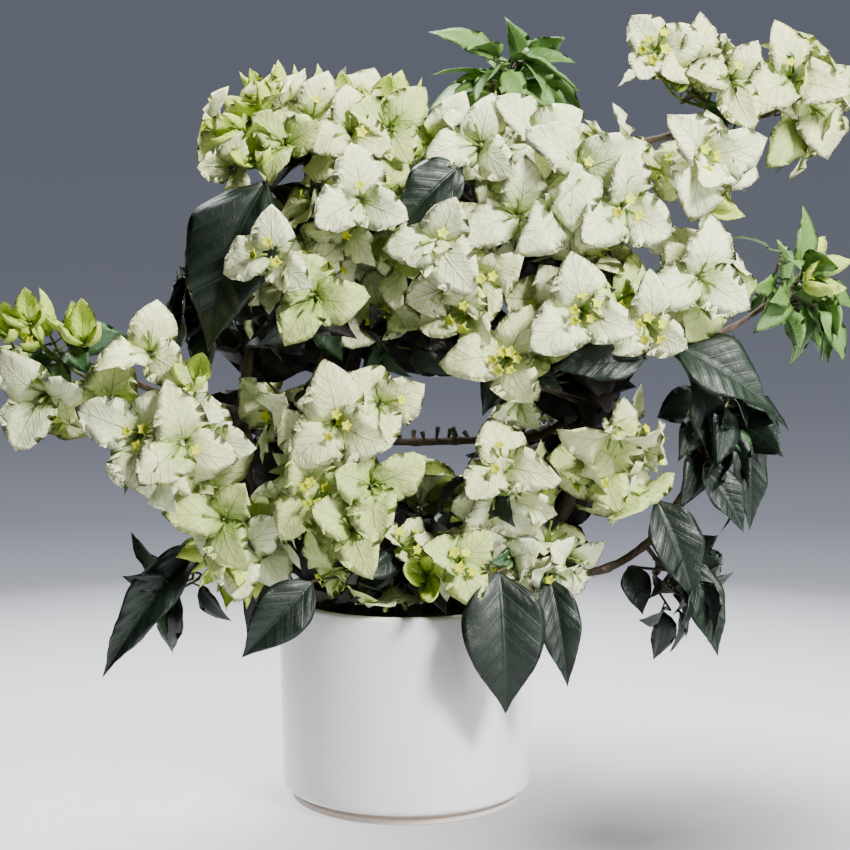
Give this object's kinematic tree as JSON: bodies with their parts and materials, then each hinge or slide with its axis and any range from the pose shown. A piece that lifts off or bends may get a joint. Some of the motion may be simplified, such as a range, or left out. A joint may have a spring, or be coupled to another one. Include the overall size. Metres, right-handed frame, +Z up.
{
  "type": "bougainvillea bush in a pot",
  "caption": "White-flowered bougainvillea trained as a ring, with cream and pale green bracts and dark glossy leaves, in a plain white glazed cylinder pot.",
  "frame": {"origin": "centre of the pot's flat underside, on the surface that the pot stands on", "axes": "+Z up, +X to the right of the plant as seen from its front, +Y to its back; the front of the plant faces -Y"},
  "size_m": [0.4889, 0.1912, 0.4528],
  "materials": {
    "glaze": "gloss",
    "soil": "matte",
    "bark": "matte",
    "leaf": "satin",
    "blossom": "matte"
  },
  "bodies": {
    "root": {"pot": "glaze", "soil": "soil", "trunk": "bark", "left_bough_lower": "bark", "left_bough_upper": "bark", "right_bough_lower": "bark", "right_bough_upper": "bark", "cross_bough": "bark", "outer_left_stem": "bark", "top_right_limb": "bark", "left_limb": "bark", "right_limb": "bark", "lower_right_limb": "bark", "lower_left_limb": "bark", "crown_shoot": "bark", "top_left_dome": "blossom", "upper_left": "blossom", "upper_left_top": "blossom", "upper_middle": "blossom", "top_middle": "blossom", "top_right": "blossom", "right_of_top": "blossom", "top_right_tip": "blossom", "top_right_end": "blossom", "right_middle": "blossom", "right_edge": "blossom", "middle_right": "blossom", "inner_top": "blossom", "middle_left": "blossom", "lower_left": "blossom", "left_shoot": "blossom", "left_shoot_tip": "blossom", "left_side_leaves": "leaf", "bottom_left": "blossom", "bottom_middle": "blossom", "middle_lower_right": "blossom", "bottom_right": "blossom", "lower_right": "blossom", "right_leaves": "leaf", "right_shoot": "blossom", "lower_right_leaves": "leaf", "bottom_left_leaves": "leaf", "crown_shoot_leaves": "leaf", "back_left": "blossom", "back_left_top": "blossom", "back_top": "blossom", "back_right_top": "blossom", "back_right": "blossom", "back_bottom": "blossom"}
  },
  "joints": []
}
